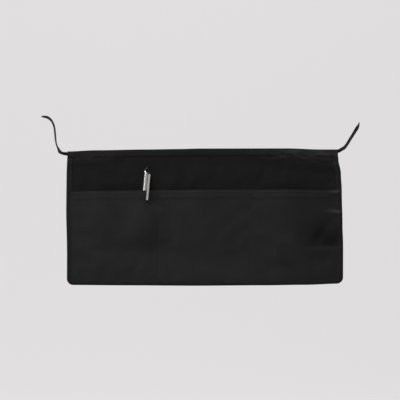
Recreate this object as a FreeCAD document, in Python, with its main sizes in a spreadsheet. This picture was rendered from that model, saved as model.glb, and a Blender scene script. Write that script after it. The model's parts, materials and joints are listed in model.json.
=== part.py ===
import FreeCAD, Part
import math
import os
import Sketcher
from FreeCAD import Placement, Rotation, Vector

# A server's waist apron: a cloth panel sewn into a folded waistband, three pockets
# across its lower part, a bound edge, two ties and a ball pen clipped in a pocket.
# Frame: +Z up, the front faces -Y, and the origin is the centre of the waistband's back.

doc = FreeCAD.newDocument("waist_apron")

DIMENSIONS = [
    # waistband: half-inch tape folded over the panel's top edge
    ("apron_width", 560.0),
    ("apron_drop", 271.3),
    ("band_height", 13.0),
    ("band_thickness", 2.2),
    ("band_slot", 0.7),
    ("band_fold", 0.7),
    # cloth and where the layers lie, measured back from the waistband's back face
    ("cloth", 0.6),
    ("panel_back", 0.8),
    ("flex_gap", 0.5),
    ("edge_inset", 0.7),
    ("corner_radius", 13.0),
    # edge binding
    ("binding_width", 10.0),
    ("binding_back", 0.15),
    ("binding_depth", 2.65),
    ("binding_gap", 1.45),
    ("binding_drop", 1.8),
    # pockets
    ("pocket_drop", 77.3),
    ("pocket_clearance", 0.15),
    ("pocket_arch", 7.0),
    ("hem_height", 12.0),
    ("hem_layers", 1.2),
    ("divider_offset", 93.3),
    # thread
    ("thread_width", 0.4),
    ("thread_rise", 0.25),
    ("band_row_drop", 4.8),
    ("hem_row_upper", 3.2),
    ("hem_row_lower", 10.5),
    ("binding_row_inset", 8.2),
    # ties
    ("tie_thickness", 1.4),
    ("tie_gap", 0.3),
    # pen, measured along its own axis from the pocket's mouth
    ("pen_offset", 120.0),
    ("pen_lean", 5.0),
    ("pen_depth", 7.0),
    ("pen_radius", 5.75),
    ("pen_bore", 4.8),
    ("pen_fit", 4.75),
    ("pen_joint", -18.0),
    ("pen_cut_level", 37.2),
    ("trim_height", 1.6),
    ("pen_cap_top", 43.5),
    ("pen_button_top", 46.5),
    ("pen_nose_top", -74.0),
    ("pen_nose_end", -93.5),
    ("nose_radius", 5.0),
    ("clip_azimuth", 35.0),
    ("clip_width", 4.8),
    ("clip_inner", 8.0),
    ("clip_sheet", 1.0),
    ("clip_top", 31.3),
    ("clip_end", -21.0),
    ("clip_pivot_radius", 7.0),
    ("clip_pivot_level", 29.6),
    ("refill_radius", 1.6),
    ("spring_wire", 0.22),
    ("spring_radius", 1.75),
]

sheet = doc.addObject("Spreadsheet::Sheet", "dims")
for row, (alias, value) in enumerate(DIMENSIONS, start=1):
    sheet.set(f"A{row}", alias.replace("_", " "))
    sheet.set(f"B{row}", str(value))
    sheet.setAlias(f"B{row}", alias)
doc.recompute()

parts = []


def dim(alias):
    """One driving dimension, in mm or degrees."""
    return float(sheet.get(alias))


def keep(feature, label):
    """Name a finished sub-part; the label also names its file."""
    feature.Label = label
    parts.append(feature)
    return feature


# ---------------------------------------------------------------- sketch helpers


def origin_plane(body, role):
    return next(item for item in body.Origin.OriginFeatures if item.Role == role)


def sketch_on(body, role, name, offset=0.0):
    """A sketch on one of the body's own origin planes, moved along its normal."""
    sketch = body.newObject("Sketcher::SketchObject", name)
    sketch.AttachmentSupport = [(origin_plane(body, role), "")]
    sketch.MapMode = "FlatFace"
    sketch.AttachmentOffset = Placement(Vector(0, 0, offset), Rotation())
    return sketch


def evaluate(expression):
    """Value of a sheet expression, read through a spare cell."""
    sheet.set("D1", "=" + expression.replace("dims.", ""))
    sheet.recompute()
    return float(sheet.get("D1"))


def pin_point(sketch, geometry, end, across, up):
    """Tie one end of a line to sheet expressions, measured from the sketch origin."""
    for kind, expression in (("DistanceX", across), ("DistanceY", up)):
        value = evaluate(expression)
        index = sketch.addConstraint(Sketcher.Constraint(kind, -1, 1, geometry, end, value))
        sketch.setExpression(f"Constraints[{index}]", expression)


def polygon(sketch, corners):
    """A closed outline of straight lines through corners given as sheet expressions."""
    points = [Vector(evaluate(across), evaluate(up), 0) for across, up in corners]
    count = len(points)
    for index in range(count):
        line = Part.LineSegment(points[index], points[(index + 1) % count])
        sketch.addGeometry(line, False)
    for index in range(count):
        sketch.addConstraint(Sketcher.Constraint("Coincident", index, 2, (index + 1) % count, 1))
    for index, (across, up) in enumerate(corners):
        pin_point(sketch, index, 1, across, up)


def tray(sketch, half_width, bottom, top, radius):
    """An upright panel outline with its two bottom corners rounded."""
    half, low, high, curve = (evaluate(text) for text in (half_width, bottom, top, radius))
    left_low = Vector(-half, low + curve, 0)
    right_low = Vector(half, low + curve, 0)
    lines = [
        (Vector(-half, high, 0), left_low),
        (Vector(-half + curve, low, 0), Vector(half - curve, low, 0)),
        (right_low, Vector(half, high, 0)),
        (Vector(half, high, 0), Vector(-half, high, 0)),
    ]
    for start, end in lines:
        sketch.addGeometry(Part.LineSegment(start, end), False)
    turn = math.pi / 2
    for side, first in ((-1, math.pi), (1, 3 * turn)):
        centre = Vector(side * (half - curve), low + curve, 0)
        circle = Part.Circle(centre, Vector(0, 0, 1), curve)
        sketch.addGeometry(Part.ArcOfCircle(circle, first, first + turn), False)
    add = sketch.addConstraint
    add(Sketcher.Constraint("Tangent", 0, 2, 4, 1))
    add(Sketcher.Constraint("Tangent", 4, 2, 1, 1))
    add(Sketcher.Constraint("Tangent", 1, 2, 5, 1))
    add(Sketcher.Constraint("Tangent", 5, 2, 2, 1))
    add(Sketcher.Constraint("Coincident", 2, 2, 3, 1))
    add(Sketcher.Constraint("Coincident", 3, 2, 0, 1))
    add(Sketcher.Constraint("Vertical", 0))
    add(Sketcher.Constraint("Vertical", 2))
    add(Sketcher.Constraint("Horizontal", 1))
    driven = [
        ("DistanceX", (-1, 1, 0, 1), f"-({half_width})"),
        ("DistanceY", (-1, 1, 0, 1), top),
        ("DistanceX", (-1, 1, 2, 2), half_width),
        ("DistanceY", (-1, 1, 2, 2), top),
        ("DistanceY", (-1, 1, 1, 1), bottom),
    ]
    for kind, where, expression in driven:
        index = add(Sketcher.Constraint(kind, *where, evaluate(expression)))
        sketch.setExpression(f"Constraints[{index}]", expression)
    for arc in (4, 5):
        index = add(Sketcher.Constraint("Radius", arc, curve))
        sketch.setExpression(f"Constraints[{index}]", radius)


def pad(body, sketch, name, length, both_ways=False):
    feature = body.newObject("PartDesign::Pad", name)
    feature.Profile = sketch
    feature.SideType = "Symmetric" if both_ways else "One side"
    feature.setExpression("Length", length)
    doc.recompute()
    return feature


def pocket(body, sketch, name, length, reverse):
    """Cut a sketch away and make sure that something was cut."""
    before = body.Shape.Volume
    feature = body.newObject("PartDesign::Pocket", name)
    feature.Profile = sketch
    feature.Reversed = reverse
    feature.setExpression("Length", length)
    doc.recompute()
    if body.Shape.Volume >= before - 1e-6:
        raise ValueError(f"{body.Label}: {name} cuts nothing")
    return feature


def revolve(body, sketch, name):
    feature = body.newObject("PartDesign::Revolution", name)
    feature.Profile = sketch
    feature.ReferenceAxis = (sketch, ["V_Axis"])
    feature.Angle = 360
    doc.recompute()
    return feature


def new_body(label, placement=None):
    body = doc.addObject("PartDesign::Body", label)
    if placement is not None:
        body.Placement = placement
    return keep(body, label)


def layer_placement(back):
    """A flat cloth layer whose back lies this far in front of the waistband's back."""
    return Placement(Vector(0, -back, 0), Rotation())


HALF = "dims.apron_width / 2"
FLEX_LEVEL = "-(dims.band_height / 2 + dims.flex_gap)"
BOTTOM = "-dims.apron_drop"


# ---------------------------------------------------------------- waistband and panel


def make_waistband():
    """Tape folded over the panel's top edge; its mouth points down."""
    body = new_body("waistband")
    profile = sketch_on(body, "YZ_Plane", "band_profile")
    back_slot = "-(dims.band_thickness - dims.band_slot) / 2"
    front_slot = "-(dims.band_thickness + dims.band_slot) / 2"
    inside = "dims.band_height / 2 - dims.band_fold"
    corners = [
        ("0", "-dims.band_height / 2"),
        ("0", "dims.band_height / 2"),
        ("-dims.band_thickness", "dims.band_height / 2"),
        ("-dims.band_thickness", "-dims.band_height / 2"),
        (front_slot, "-dims.band_height / 2"),
        (front_slot, inside),
        (back_slot, inside),
        (back_slot, "-dims.band_height / 2"),
    ]
    polygon(profile, corners)
    pad(body, profile, "band_length", "dims.apron_width", both_ways=True)
    crest = dim("band_height") / 2
    edges = [
        f"Edge{number}"
        for number, edge in enumerate(body.Shape.Edges, start=1)
        if edge.BoundBox.XLength > 100 and edge.BoundBox.ZMin > crest - 0.01
    ]
    folded = body.Tip
    fold = body.newObject("PartDesign::Fillet", "rolled_fold")
    fold.Base = (folded, edges)
    fold.setExpression("Radius", "dims.band_thickness * 0.4")
    doc.recompute()


def make_panel_top_edge():
    """The strip of the panel's own cloth that is sewn inside the waistband."""
    strip = keep(doc.addObject("Part::Box", "panel_top_edge"), "panel_top_edge")
    strip.setExpression("Length", "dims.apron_width - 2 * dims.edge_inset")
    strip.setExpression("Width", "dims.cloth")
    strip.setExpression("Height", "dims.band_height - dims.band_fold - 0.4")
    strip.setExpression("Placement.Base.x", "-dims.apron_width / 2 + dims.edge_inset")
    strip.setExpression("Placement.Base.y", "-dims.panel_back - dims.cloth")
    strip.setExpression("Placement.Base.z", "-dims.band_height / 2 + 0.1")
    doc.recompute()


def make_main_panel():
    """The panel below the waistband; its rounded top edge is the line it bends on."""
    body = new_body("main_panel", layer_placement(dim("panel_back")))
    outline = sketch_on(body, "XZ_Plane", "panel_outline")
    tray(
        outline,
        f"{HALF} - dims.edge_inset",
        f"{BOTTOM} + dims.edge_inset",
        FLEX_LEVEL,
        "dims.corner_radius - dims.edge_inset",
    )
    pad(body, outline, "panel_cloth", "dims.cloth")
    end = sketch_on(body, "YZ_Plane", "bend_section")
    middle = Vector(-dim("cloth") / 2, evaluate(FLEX_LEVEL), 0)
    end.addGeometry(Part.Circle(middle, Vector(0, 0, 1), dim("cloth") / 2), False)
    pin_point(end, 0, 3, "-dims.cloth / 2", FLEX_LEVEL)
    index = end.addConstraint(Sketcher.Constraint("Radius", 0, dim("cloth") / 2))
    end.setExpression(f"Constraints[{index}]", "dims.cloth / 2")
    pad(body, end, "bend_edge", f"2 * ({HALF} - dims.edge_inset)", both_ways=True)


def make_edge_binding():
    """Tape folded over both side edges and the rounded bottom edge."""
    body = new_body("edge_binding", layer_placement(dim("binding_back")))
    top = f"{FLEX_LEVEL} - dims.binding_drop"
    outer = sketch_on(body, "XZ_Plane", "binding_outline")
    tray(outer, HALF, BOTTOM, top, "dims.corner_radius")
    pad(body, outer, "binding_block", "dims.binding_depth")
    window = sketch_on(body, "XZ_Plane", "binding_window")
    tray(
        window,
        f"{HALF} - dims.binding_width",
        f"{BOTTOM} + dims.binding_width",
        f"{top} + 1",
        "dims.corner_radius - dims.binding_width",
    )
    pocket(body, window, "open_middle", "dims.binding_depth", True)
    start = (dim("binding_depth") - dim("binding_gap")) / 2
    slot = sketch_on(body, "XZ_Plane", "binding_slot", start)
    tray(
        slot,
        f"{HALF} - dims.edge_inset + 0.05",
        f"{BOTTOM} + dims.edge_inset - 0.05",
        f"{top} + 1",
        "dims.corner_radius - dims.edge_inset + 0.05",
    )
    pocket(body, slot, "cloth_slot", "dims.binding_gap", True)


# ---------------------------------------------------------------- pocket cloth


def smooth(value):
    """Smooth step from 0 to 1."""
    value = min(1.0, max(0.0, value))
    return value * value * (3 - 2 * value)


def compartments():
    """Centre and half width of the three pockets, left to right."""
    divider = dim("divider_offset")
    side = dim("apron_width") / 2 - dim("binding_width")
    outer_half = (side - divider) / 2
    middle = (side + divider) / 2
    return [(-middle, outer_half), (0.0, divider), (middle, outer_half)]


def pen_across(z):
    """Where the leaning pen's axis stands at a height."""
    return -dim("pen_offset") + (z + dim("pocket_drop")) * math.tan(math.radians(dim("pen_lean")))


def arch_depth(x, z):
    """How far an empty pocket stands off the panel: open at its mouth, shut at its foot."""
    reach = dim("apron_drop") - dim("binding_width") - dim("pocket_drop")
    fall = min(1.0, (-dim("pocket_drop") - z) / reach)
    for centre, half in compartments():
        share = abs(x - centre) / half
        if share < 1:
            return dim("pocket_arch") * (1 - share**4) ** 2 * (1 - fall**4) ** 2
    return 0.0


def tent_depth(x, z):
    """The ridge that the hidden pen pushes up in the pocket cloth."""
    peak = dim("pen_depth") + dim("pen_radius") + 0.45
    fade = 1 - smooth((dim("pen_nose_top") - (z + dim("pocket_drop"))) / 60)
    aside = (x - pen_across(z)) / 11.0
    return peak * fade * math.exp(-aside * aside)


def clear_depth(x, z):
    """Distance from the panel's front to the back of the pocket cloth."""
    ridge = (arch_depth(x, z) ** 4 + tent_depth(x, z) ** 4) ** 0.25
    return dim("pocket_clearance") + ridge


def hem_rise(x, z):
    """Extra thickness of the folded hem, pressed flat under the side bindings."""
    side = dim("apron_width") / 2 - dim("binding_width")
    inside = smooth((side - 1 - abs(x)) / 14)
    below = -dim("pocket_drop") - dim("hem_height") - z
    return dim("hem_layers") * inside * (1 - smooth(below / 12))


def station_list(half_width):
    """Stations across the cloth: close together where the pen's ridge is narrow."""
    fine_from, fine_to = -172.0, -72.0
    stations = [-half_width + step * (fine_from + half_width) / 20 for step in range(20)]
    stations += [fine_from + step * 4.0 for step in range(25)]
    stations += [fine_to + step * (half_width - fine_to) / 66 for step in range(1, 67)]
    return stations


def cloth_loft(stations, levels, inner, outer):
    """A cloth layer through level sections, between an inner and an outer depth."""
    face_y = -dim("panel_back") - dim("cloth")
    wires = []
    for z in levels:
        edges = []
        ends = []
        for depth in (inner, outer):
            points = [Vector(x, face_y - depth(x, z), z) for x in stations]
            curve = Part.BSplineCurve()
            curve.interpolate(Points=points, Parameters=[x - stations[0] for x in stations])
            edges.append(curve.toShape())
            ends.append((points[0], points[-1]))
        right = Part.makeLine(ends[0][1], ends[1][1])
        left = Part.makeLine(ends[1][0], ends[0][0])
        wires.append(Part.Wire([edges[0], right, edges[1], left]))
    return Part.makeLoft(wires, True, False)


def make_pocket_panel():
    """The wide patch of pocket cloth with its folded top hem."""
    half = dim("apron_width") / 2 - dim("edge_inset") - 0.1
    stations = station_list(half)
    mouth = -dim("pocket_drop")
    hem_foot = mouth - dim("hem_height")
    foot = -dim("apron_drop") + dim("edge_inset") + 0.1
    levels = [hem_foot + step * (foot - hem_foot) / 30 for step in range(31)]

    def cloth_back(x, z):
        return clear_depth(x, z) + hem_rise(x, z)

    def cloth_front(x, z):
        return cloth_back(x, z) + dim("cloth")

    cloth = cloth_loft(stations, levels, cloth_back, cloth_front)
    hem = cloth_loft(stations, [mouth, hem_foot], clear_depth, cloth_front)
    corner = Part.makeBox(2 * half, 60, -foot, Vector(-half, -60, foot))
    edges = [
        edge
        for edge in corner.Edges
        if edge.BoundBox.YLength > 1 and edge.BoundBox.ZMax < foot + 1
    ]
    blank = corner.makeFillet(dim("corner_radius") - dim("edge_inset") - 0.1, edges)
    feature = keep(doc.addObject("Part::Feature", "pocket_panel"), "pocket_panel")
    feature.Shape = cloth.common(blank).fuse(hem).Solids[0]


# ---------------------------------------------------------------- thread


def make_waistband_stitching():
    """The row that closes the waistband, on its front."""
    row = keep(doc.addObject("Part::Box", "waistband_stitching"), "waistband_stitching")
    row.setExpression("Length", "dims.apron_width - 4")
    row.setExpression("Width", "dims.thread_rise")
    row.setExpression("Height", "dims.thread_width")
    row.setExpression("Placement.Base.x", "-dims.apron_width / 2 + 2")
    row.setExpression("Placement.Base.y", "-dims.band_thickness - dims.thread_rise")
    row.setExpression("Placement.Base.z", "-dims.band_row_drop")
    doc.recompute()


def make_binding_stitching():
    """The row that holds the binding, following it round the corners."""
    front = dim("binding_back") + dim("binding_depth")
    body = new_body("binding_stitching", layer_placement(front))
    top = f"{FLEX_LEVEL} - dims.binding_drop - 0.5"
    outer = sketch_on(body, "XZ_Plane", "thread_outline")
    inset = "dims.binding_row_inset"
    radius = "dims.corner_radius - dims.binding_row_inset"
    tray(outer, f"{HALF} - {inset}", f"{BOTTOM} + {inset}", top, radius)
    pad(body, outer, "thread_block", "dims.thread_rise")
    inner = sketch_on(body, "XZ_Plane", "thread_window")
    inset = "(dims.binding_row_inset + dims.thread_width)"
    tray(inner, f"{HALF} - {inset}", f"{BOTTOM} + {inset}", f"{top} + 1", f"{radius} - dims.thread_width")
    pocket(body, inner, "inside_of_row", "dims.thread_rise", True)


def hem_surface(x, z):
    return clear_depth(x, z) + hem_rise(x, z) + dim("cloth")


def thread_back(x, z):
    return hem_surface(x, z) - 0.05


def thread_front(x, z):
    return hem_surface(x, z) + dim("thread_rise")


def make_hem_stitching():
    """Two rows along the pocket hem, following the cloth."""
    half = dim("apron_width") / 2 - dim("binding_width") - 1
    rows = []
    for drop in (dim("hem_row_upper"), dim("hem_row_lower")):
        level = -dim("pocket_drop") - drop
        levels = [level, level - dim("thread_width")]
        rows.append(cloth_loft(station_list(half), levels, thread_back, thread_front))
    feature = keep(doc.addObject("Part::Feature", "pocket_hem_stitching"), "pocket_hem_stitching")
    feature.Shape = Part.Compound(rows)


def make_divider_stitching():
    """The two upright rows that part the pocket into three."""
    top = -dim("pocket_drop") - 0.6
    foot = -dim("apron_drop") + dim("binding_width") + 1
    levels = [top + step * (foot - top) / 36 for step in range(37)]
    rows = []
    for side in (-1, 1):
        middle = side * dim("divider_offset")
        half = dim("thread_width") / 2
        stations = [middle - half, middle - half / 3, middle + half / 3, middle + half]
        rows.append(cloth_loft(stations, levels, thread_back, thread_front))
    feature = keep(doc.addObject("Part::Feature", "divider_stitching"), "divider_stitching")
    feature.Shape = Part.Compound(rows)


# ---------------------------------------------------------------- ties

# Where each tie runs from the waistband's end: out, forward, up; mirrored for the left.
TIE_LEFT_PATH = [(0, 0, 0), (2, 0.05, 0), (7, 1.4, 0.6), (13, 4.6, 5), (18.5, 6.4, 16), (21.5, 6.6, 32)]
TIE_LEFT_PATH += [(23.5, 6.6, 47), (29, 6.6, 61), (38, 6.6, 68), (50, 6.6, 70.5)]
TIE_RIGHT_PATH = [(0, 0, 0), (1.5, 0, 0), (3, 0.15, 0.1), (6.5, 1.8, 2.4), (10.5, 5, 8), (17.5, 6.6, 26), (26, 6.6, 44), (33, 6.6, 59)]


def tie_sections(side, path, offset_across, offset_out, width, thickness):
    """Rectangular sections of the tape, turning from upright to edge-on in its first bend."""
    pivot_x = dim("apron_width") / 2 + dim("tie_gap") + dim("tie_thickness") / 2
    middle_y = -dim("band_thickness") / 2
    points = [Vector(side * (pivot_x + out), middle_y - fore, up) for out, fore, up in path]
    spine = Part.BSplineCurve()
    spine.interpolate(points)
    wires = []
    count = 24
    for step in range(count + 1):
        parameter = spine.FirstParameter
        parameter += (spine.LastParameter - spine.FirstParameter) * step / count
        place = spine.value(parameter)
        along = spine.tangent(parameter)[0]
        turn = math.radians(78) * smooth(step / count / 0.3)
        wide = Vector(0, -math.sin(turn), math.cos(turn))
        wide = (wide - along * wide.dot(along)).normalize()
        thick = along.cross(wide).normalize()
        centre = place + wide * offset_across + thick * offset_out
        corners = []
        for across, out in ((-1, -1), (1, -1), (1, 1), (-1, 1)):
            corner = centre + wide * (across * width / 2) + thick * (out * thickness / 2)
            corners.append(corner)
        wires.append(Part.makePolygon(corners + corners[:1]))
    return wires


def make_tie(label, side, path):
    """A tie: the waistband's tape carried on, on a rounded root that it swings about."""
    width = dim("band_height")
    thickness = dim("tie_thickness")
    tape = Part.makeLoft(tie_sections(side, path, 0, 0, width, thickness), True, False)
    pivot_x = dim("apron_width") / 2 + dim("tie_gap") + thickness / 2
    root = Part.makeCylinder(
        thickness / 2 + 0.05,
        width - 0.2,
        Vector(side * pivot_x, -dim("band_thickness") / 2, 0.1 - width / 2),
    )
    feature = keep(doc.addObject("Part::Feature", label), label)
    feature.Shape = tape.fuse(root).Solids[0]


def make_tie_stitching(label, side, path):
    """The row that closes the folded tape, near its lower edge and on its front."""
    thread = dim("thread_width")
    rise = dim("thread_rise")
    out = side * (dim("tie_thickness") + rise) / 2
    sections = tie_sections(side, path, -dim("band_row_drop"), out, thread, rise)
    feature = keep(doc.addObject("Part::Feature", label), label)
    feature.Shape = Part.makeLoft(sections[2:], True, False)


# ---------------------------------------------------------------- pen


def pen_placement():
    """The pen's own frame: +Z up its axis, zero level with the pocket's mouth."""
    depth = dim("panel_back") + dim("cloth") + dim("pen_depth")
    base = Vector(-dim("pen_offset"), -depth, -dim("pocket_drop"))
    return Placement(base, Rotation(Vector(0, 1, 0), dim("pen_lean")))


def turned_part(label, corners):
    """A part of the pen turned about the pen's axis from a radius and height outline."""
    body = new_body(label, pen_placement())
    profile = sketch_on(body, "XZ_Plane", f"{label}_profile")
    polygon(profile, corners)
    revolve(body, profile, f"{label}_turned")
    return body


def round_edges(body, name, radius, level):
    """Round the circular edges that lie at one height of the pen."""
    edges = []
    for number, edge in enumerate(body.Tip.Shape.Edges, start=1):
        ring = isinstance(edge.Curve, Part.Circle) and edge.BoundBox.XLength > 1
        if ring and abs(edge.Curve.Center.z - level) < 0.01:
            edges.append((f"Edge{number}", edge.Curve.Radius))
    widest = max(size for _, size in edges)
    names = [edge for edge, size in edges if size > widest - 0.01]
    turned = body.Tip
    fillet = body.newObject("PartDesign::Fillet", name)
    fillet.Base = (turned, names)
    fillet.Radius = radius
    doc.recompute()


def cut_direction():
    """Unit vector towards the clip, square to the pen's axis."""
    azimuth = math.radians(dim("clip_azimuth"))
    return Vector(math.sin(azimuth), -math.cos(azimuth), 0)


def slanted_block(name, above, level):
    """A large block above or below a slanted plane that crosses the pen's axis at a level."""
    slope = 0.75
    toward = cut_direction()
    normal = Vector(slope * toward.x, slope * toward.y, 1).normalize()
    turn = Rotation(Vector(0, 0, 1), normal)
    block = doc.addObject("Part::Box", name)
    block.Length = block.Width = 60
    block.Height = 120
    corner = turn.multVec(Vector(-30, -30, 0 if above else -120))
    block.Placement = Placement(corner + Vector(0, 0, level), turn)
    return block


def common(label, first, second):
    feature = doc.addObject("Part::Common", label)
    feature.Base = first
    feature.Tool = second
    return feature


def helper_body(name, corners):
    """A turned form that is only used to make another part."""
    body = doc.addObject("PartDesign::Body", name)
    profile = sketch_on(body, "XZ_Plane", f"{name}_profile")
    polygon(profile, corners)
    revolve(body, profile, f"{name}_turned")
    return body


def make_barrels():
    """Upper barrel, the slanted ring on it, lower barrel screwed into it, and the nose."""
    tube = [
        ("dims.pen_bore", "dims.pen_joint"),
        ("dims.pen_radius", "dims.pen_joint"),
        ("dims.pen_radius", "dims.pen_cap_top"),
        ("dims.pen_bore", "dims.pen_cap_top"),
    ]
    form = helper_body("barrel_tube", tube)
    barrel_top = dim("pen_cut_level") - dim("trim_height")
    block = slanted_block("below_ring", above=False, level=barrel_top)
    upper = common("pen_barrel_upper", form, block)
    upper.Placement = pen_placement()
    keep(upper, "pen_barrel_upper")

    block = slanted_block("ring_top", above=False, level=dim("pen_cut_level"))
    ring_form = common("ring_below_cap", helper_body("ring_tube", tube), block)
    block = slanted_block("ring_foot", above=True, level=barrel_top)
    ring = common("pen_trim_ring", ring_form, block)
    ring.Placement = pen_placement()
    keep(ring, "pen_trim_ring")

    neck = "dims.pen_joint + 9"
    lower = [
        ("dims.pen_bore - 0.9", neck),
        ("dims.pen_fit", neck),
        ("dims.pen_fit", "dims.pen_joint - 0.02"),
        ("dims.pen_radius", "dims.pen_joint - 0.02"),
        ("dims.pen_radius", "dims.pen_joint - 22"),
        ("dims.nose_radius", "dims.pen_nose_top"),
        ("dims.pen_bore - 0.9", "dims.pen_nose_top"),
    ]
    turned_part("pen_barrel_lower", lower)

    nose = [
        ("2.5", "dims.pen_nose_top + 6"),
        ("dims.pen_bore - 0.95", "dims.pen_nose_top + 6"),
        ("dims.pen_bore - 0.95", "dims.pen_nose_top - 0.02"),
        ("dims.nose_radius", "dims.pen_nose_top - 0.02"),
        ("dims.nose_radius - 0.5", "dims.pen_nose_top - 5"),
        ("1.9", "dims.pen_nose_end"),
        ("1.35", "dims.pen_nose_end"),
        ("1.35", "dims.pen_nose_end + 7.5"),
        ("2.5", "dims.pen_nose_end + 7.5"),
    ]
    turned_part("pen_nose_cone", nose)


def make_top_cap():
    """Black cap on the slanted ring, with the lug that stands over the clip's root."""
    wall = [
        ("3.5", "dims.pen_cut_level - 8"),
        ("dims.pen_radius", "dims.pen_cut_level - 8"),
        ("dims.pen_radius", "dims.pen_cap_top"),
        ("3.5", "dims.pen_cap_top"),
    ]
    form = helper_body("cap_form", wall)
    round_edges(form, "cap_shoulder", 2.0, dim("pen_cap_top"))
    above_ring = slanted_block("above_ring", above=True, level=dim("pen_cut_level"))
    block = common("cap_above_ring", form, above_ring)

    spigot = helper_body(
        "cap_spigot",
        [
            ("4.2", "dims.pen_cut_level - 8"),
            ("dims.pen_fit", "dims.pen_cut_level - 8"),
            ("dims.pen_fit", "dims.pen_cut_level + 4"),
            ("4.2", "dims.pen_cut_level + 4"),
        ],
    )
    lug = doc.addObject("Part::Box", "clip_lug")
    lug.Length = 4.0
    lug.Width = 6.6
    lug.Height = 6.4
    turn = Rotation(Vector(0, 0, 1), dim("clip_azimuth") - 90)
    lug.Placement = Placement(turn.multVec(Vector(4.9, -3.3, 0)) + Vector(0, 0, 31.8), turn)
    doc.recompute()
    rounded = doc.addObject("Part::Fillet", "clip_lug_round")
    rounded.Base = lug
    outer = []
    for number, edge in enumerate(lug.Shape.Edges, start=1):
        reach = min(point.Point.dot(cut_direction()) for point in edge.Vertexes)
        if reach > 8.8 and edge.BoundBox.ZMax > 32:
            outer.append((number, 1.4, 1.4))
    rounded.Edges = outer
    relief = doc.addObject("Part::Cylinder", "lug_relief")
    relief.Radius = dim("pen_radius") + 0.03
    relief.Height = 20
    relief.Placement.Base = Vector(0, 0, 34.0 - 20)
    lug_cut = doc.addObject("Part::Cut", "lug_clear_of_barrel")
    lug_cut.Base = rounded
    lug_cut.Tool = relief
    solid = doc.addObject("Part::MultiFuse", "cap_solid")
    solid.Shapes = [block, spigot, lug_cut]
    chamber = doc.addObject("Part::Cylinder", "cap_chamber")
    chamber.Radius = 4.2
    chamber.Height = 16.8
    chamber.Placement.Base = Vector(0, 0, 20.0)
    cap = doc.addObject("Part::Cut", "pen_top_cap")
    cap.Base = solid
    cap.Tool = chamber
    cap.Placement = pen_placement()
    keep(cap, "pen_top_cap")


def make_mechanism():
    """Button, cam guide, rotor, refill and ball."""
    button = [
        ("0", "20.3"),
        ("2.6", "20.3"),
        ("2.6", "34.5"),
        ("4.0", "34.5"),
        ("4.0", "36.5"),
        ("3.3", "36.5"),
        ("3.3", "dims.pen_button_top"),
        ("0", "dims.pen_button_top"),
    ]
    body = turned_part("pen_button", button)
    round_edges(body, "button_dome", 2.0, dim("pen_button_top"))

    guide = [
        ("3.4", "8"),
        ("dims.pen_fit", "8"),
        ("dims.pen_fit", "26"),
        ("3.4", "26"),
    ]
    turned_part("pen_cam_guide", guide)

    rotor = turned_part("pen_rotor", [("0", "12.1"), ("2.3", "12.1"), ("2.3", "20"), ("0", "20")])
    rib = sketch_on(rotor, "XY_Plane", "rotor_ribs", 13.5)
    rib_outline = [("-3.1", "-0.5"), ("3.1", "-0.5"), ("3.1", "0.5"), ("-3.1", "0.5")]
    polygon(rib, rib_outline)
    ribs = pad(rotor, rib, "rotor_rib_pair", "5")
    ring = rotor.newObject("PartDesign::PolarPattern", "rotor_rib_ring")
    ring.Originals = [ribs]
    ring.Axis = (rib, ["N_Axis"])
    ring.Angle = 180
    ring.Occurrences = 2
    rotor.Tip = ring
    doc.recompute()

    tube = [
        ("dims.refill_radius - 0.35", "-70"),
        ("dims.refill_radius", "-70"),
        ("dims.refill_radius", "12"),
        ("dims.refill_radius - 0.35", "12"),
    ]
    turned_part("pen_refill_tube", tube)
    tip = [
        ("0", "-70.02"),
        ("2.2", "-70.02"),
        ("2.2", "-72"),
        ("1.15", "-72"),
        ("1.15", "-90"),
        ("0.42", "-92.3"),
        ("0.36", "-92.3"),
        ("0.36", "-91.9"),
        ("0", "-91.9"),
    ]
    turned_part("pen_refill_tip", tip)
    ball = keep(doc.addObject("Part::Sphere", "pen_ball"), "pen_ball")
    ball.Radius = 0.34
    ball.Placement = pen_placement().multiply(Placement(Vector(0, 0, -92.26), Rotation()))



def make_spring():
    """Return spring between the nose's shoulder and the refill's collar."""
    wire = dim("spring_wire")
    radius = dim("spring_radius")
    low = dim("pen_nose_end") + 7.5 + wire + 0.05
    high = -72 - wire - 0.05
    turns = 8
    steps = turns * 8
    rise = (high - low) / turns / (2 * math.pi)
    sections = []
    for step in range(steps + 1):
        angle = 2 * math.pi * turns * step / steps
        outward = Vector(math.cos(angle), math.sin(angle), 0)
        along = Vector(-radius * math.sin(angle), radius * math.cos(angle), rise).normalize()
        across = along.cross(outward)
        centre = outward * radius + Vector(0, 0, low + rise * angle)
        rim = []
        for corner in range(6):
            around = corner * math.pi / 3
            rim.append(centre + (outward * math.cos(around) + across * math.sin(around)) * wire)
        sections.append(Part.makePolygon(rim + rim[:1]))
    spring = keep(doc.addObject("Part::Feature", "pen_spring"), "pen_spring")
    spring.Shape = Part.makeLoft(sections, True, False)
    spring.Placement = pen_placement()


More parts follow.
